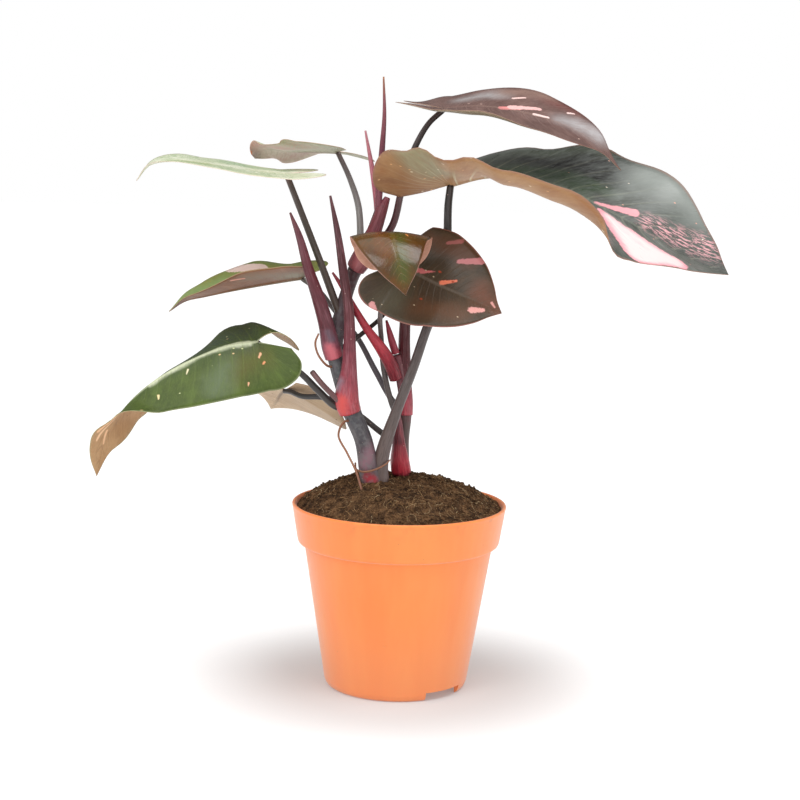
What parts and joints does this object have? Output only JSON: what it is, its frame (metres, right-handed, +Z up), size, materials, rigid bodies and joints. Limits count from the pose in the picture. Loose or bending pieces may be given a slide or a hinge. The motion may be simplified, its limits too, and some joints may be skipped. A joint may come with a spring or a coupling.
{
  "type": "potted philodendron",
  "caption": "Pink princess philodendron with heart-shaped leaves, sheathed stems and soil in a plain tapered nursery pot.",
  "frame": {"origin": "middle of the pot's underside, on the floor", "axes": "+Z up, +X to the right and +Y to the back, as seen from where the picture was taken"},
  "size_m": [0.4006, 0.1529, 0.395],
  "materials": {
    "pot_plastic": "satin",
    "soil": "rough",
    "stem": "satin",
    "sheath": "satin",
    "dark_leaf": "gloss",
    "green_leaf": "gloss",
    "pale_leaf": "satin"
  },
  "bodies": {
    "root": {"pot": "pot_plastic", "soil": "soil", "stem_left": "stem", "stem_right": "stem", "cut_stalk": "stem", "leaf_big_right": "dark_leaf", "leaf_top_right": "dark_leaf", "leaf_round": "dark_leaf", "leaf_folded_front": "dark_leaf", "leaf_low_left": "green_leaf", "leaf_middle_left": "green_leaf", "leaf_high_left": "pale_leaf", "leaf_high_back": "pale_leaf", "leaf_low_back": "pale_leaf", "sheath_left": "sheath", "sheath_middle": "sheath", "sheath_right": "sheath", "sheath_upper": "sheath", "sheath_top": "sheath", "new_leaf_spear": "sheath", "sheath_upright": "sheath", "sheath_small": "sheath", "sheath_low": "sheath"}
  },
  "joints": []
}
